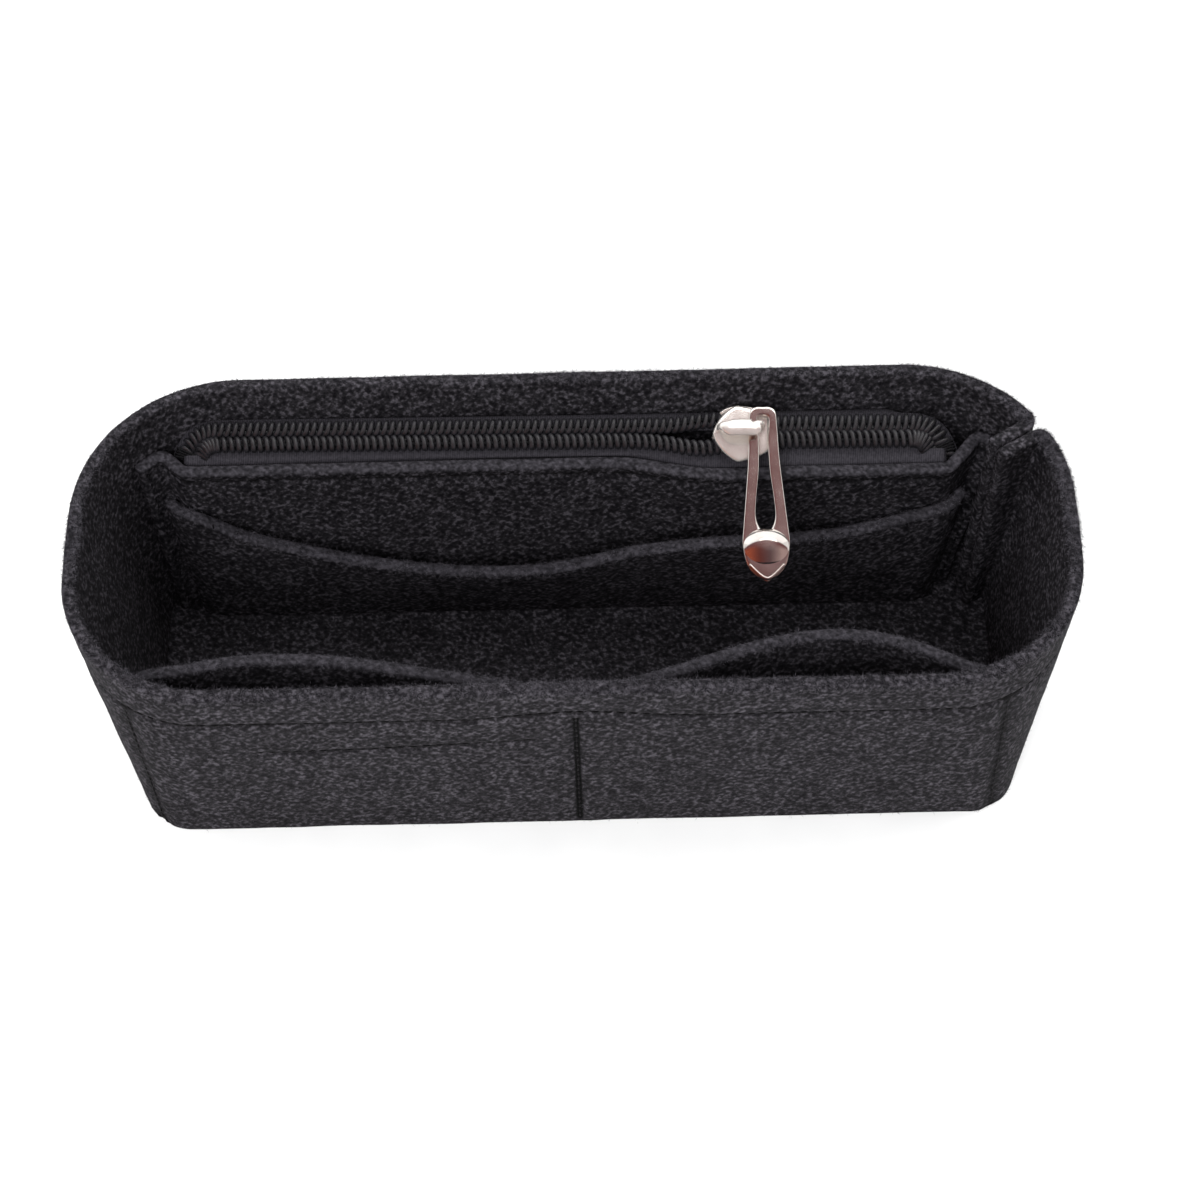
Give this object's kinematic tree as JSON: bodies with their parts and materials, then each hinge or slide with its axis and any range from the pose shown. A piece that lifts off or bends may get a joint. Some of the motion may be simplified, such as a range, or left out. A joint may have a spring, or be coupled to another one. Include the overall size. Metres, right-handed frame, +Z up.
{
  "type": "purse organizer insert",
  "caption": "Felt purse organizer insert: an open tray with bulging front pockets, a slip pocket and a zipped rear pocket with a metal slider and a raindrop pull.",
  "frame": {"origin": "centre of the flat underside of the base, on the surface it stands on", "axes": "+X to the right along the tray, +Y to the zipped rear wall, +Z up to the open rim"},
  "size_m": [0.221, 0.0844, 0.075],
  "materials": {
    "felt": "charcoal needle-punched polyester felt",
    "thread": "black polyester sewing thread",
    "tape": "black woven polyester zipper tape",
    "coil": "black nylon coil",
    "nickel": "nickel-plated zinc, polished"
  },
  "bodies": {
    "tray": {"base_panel": "felt", "wall_band": "felt", "front_pocket_panel": "felt", "zip_pocket_panel": "felt", "slip_pocket_panel": "felt", "zipper_tape_front": "tape", "zipper_tape_rear": "tape", "zipper_coil_front": "coil", "zipper_coil_rear": "coil", "zipper_tack_left": "thread", "zipper_tack_right": "thread", "rim_topstitch": "thread", "lower_topstitch": "thread", "base_stitch": "thread", "wall_corner_seam": "thread", "front_divider_seam": "thread", "front_left_seam": "thread", "front_right_seam": "thread", "slip_left_seam": "thread", "slip_right_seam": "thread", "zip_left_seam": "thread", "zip_right_seam": "thread", "front_tape_stitch": "thread", "rear_tape_stitch": "thread"},
    "slider": {"slider_body": "nickel"},
    "pull": {"slider_pull": "nickel"}
  },
  "joints": [
    {"name": "slider_slide", "type": "slide", "parent": "tray", "child": "slider", "axis": [0.9999, -0.0157, 0], "range_m": [-0.1088, 0.0288], "deforming": ["zipper_coil_front", "zipper_coil_rear", "zipper_tape_front", "zipper_tape_rear"]},
    {"name": "pull_turn", "type": "hinge", "parent": "slider", "child": "pull", "pos_m": [0.04339, 0.03074, 0.064], "axis": [-0.0034, -0.2164, 0.9763], "range_deg": [-60, 45]}
  ]
}
